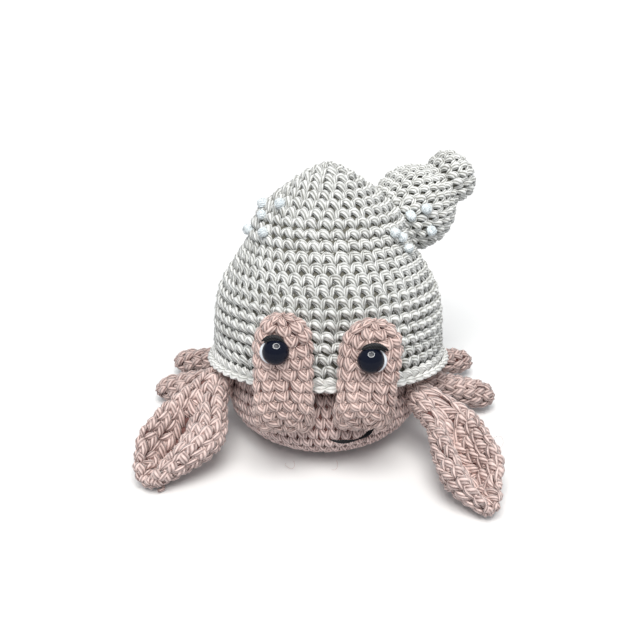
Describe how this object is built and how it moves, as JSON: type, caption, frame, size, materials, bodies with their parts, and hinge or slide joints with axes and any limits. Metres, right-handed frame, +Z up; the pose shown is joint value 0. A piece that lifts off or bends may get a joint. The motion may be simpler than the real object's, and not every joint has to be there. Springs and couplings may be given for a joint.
{
  "type": "crab figurine",
  "caption": "Crocheted hermit crab figurine with a lift-off spiral shell, flat eye stalks, grooved claws and legs.",
  "frame": {"origin": "centre of the flat patch under the body that the crab stands on", "axes": "+Z up, -Y towards the crab's face, +X towards the side of the spire"},
  "size_m": [0.1249, 0.1088, 0.0897],
  "materials": {
    "pink_yarn": "crocheted cotton, matt",
    "grey_yarn": "crocheted cotton, matt",
    "white_yarn": "cotton yarn, matt",
    "black_thread": "cotton thread",
    "white_felt": "wool felt",
    "stuffing": "polyester fibre",
    "black_eye": "polished",
    "washer_plastic": "moulded"
  },
  "bodies": {
    "body": {"body_cover": "pink_yarn", "body_stuffing": "stuffing", "mouth_stitches": "black_thread"},
    "shell": {"shell_cover": "grey_yarn", "shell_edging": "grey_yarn", "shell_stuffing": "stuffing", "spire_cover": "grey_yarn", "spire_stuffing": "stuffing", "shell_knots_left": "white_yarn", "shell_knots_right": "white_yarn"},
    "stalk_left": {"eye_stalk_left": "pink_yarn", "eye_left": "black_eye", "eye_washer_left": "washer_plastic", "eye_white_left": "white_felt", "eyelid_left": "black_thread"},
    "claw_left": {"claw_cover_left": "pink_yarn", "claw_stuffing_left": "stuffing"},
    "stalk_right": {"eye_stalk_right": "pink_yarn", "eye_right": "black_eye", "eye_washer_right": "washer_plastic", "eye_white_right": "white_felt", "eyelid_right": "black_thread"},
    "claw_right": {"claw_cover_right": "pink_yarn", "claw_stuffing_right": "stuffing"},
    "leg_front_left": {"leg_cover_front_left": "pink_yarn", "leg_stuffing_front_left": "stuffing"},
    "leg_rear_left": {"leg_cover_rear_left": "pink_yarn", "leg_stuffing_rear_left": "stuffing"},
    "leg_front_right": {"leg_cover_front_right": "pink_yarn", "leg_stuffing_front_right": "stuffing"},
    "leg_rear_right": {"leg_cover_rear_right": "pink_yarn", "leg_stuffing_rear_right": "stuffing"}
  },
  "joints": [
    {"name": "shell_lift", "type": "slide", "parent": "body", "child": "shell", "axis": [0, 0.2351, 0.972], "range_m": [0, 0.06]},
    {"name": "stalk_left_bend", "type": "hinge", "parent": "body", "child": "stalk_left", "pos_m": [-0.014, -0.0339, 0.0223], "axis": [1, 0, 0], "range_deg": [0, 30], "stiffness_Nm_per_rad": 0.004},
    {"name": "stalk_right_bend", "type": "hinge", "parent": "body", "child": "stalk_right", "pos_m": [0.0112, -0.03375, 0.0231], "axis": [1, 0, 0], "range_deg": [0, 30], "stiffness_Nm_per_rad": 0.004},
    {"name": "claw_left_swing", "type": "hinge", "parent": "body", "child": "claw_left", "pos_m": [-0.0376, -0.00729, 0.0206], "axis": [0, 0, 1], "range_deg": [-6, 22], "stiffness_Nm_per_rad": 0.004},
    {"name": "claw_right_swing", "type": "hinge", "parent": "body", "child": "claw_right", "pos_m": [0.03176, -0.01703, 0.0206], "axis": [0, 0, -1], "range_deg": [-6, 22], "stiffness_Nm_per_rad": 0.004},
    {"name": "leg_front_left_sweep", "type": "hinge", "parent": "body", "child": "leg_front_left", "pos_m": [-0.03775, 0.00945, 0.013], "axis": [0, 0, 1], "range_deg": [-8, 8], "stiffness_Nm_per_rad": 0.004},
    {"name": "leg_rear_left_sweep", "type": "hinge", "parent": "body", "child": "leg_rear_left", "pos_m": [-0.03217, 0.02253, 0.013], "axis": [0, 0, 1], "range_deg": [-8, 8], "stiffness_Nm_per_rad": 0.004},
    {"name": "leg_front_right_sweep", "type": "hinge", "parent": "body", "child": "leg_front_right", "pos_m": [0.03624, 0.00673, 0.013], "axis": [0, 0, -1], "range_deg": [-8, 8], "stiffness_Nm_per_rad": 0.004},
    {"name": "leg_rear_right_sweep", "type": "hinge", "parent": "body", "child": "leg_rear_right", "pos_m": [0.03036, 0.02225, 0.013], "axis": [0, 0, -1], "range_deg": [-8, 8], "stiffness_Nm_per_rad": 0.004}
  ]
}
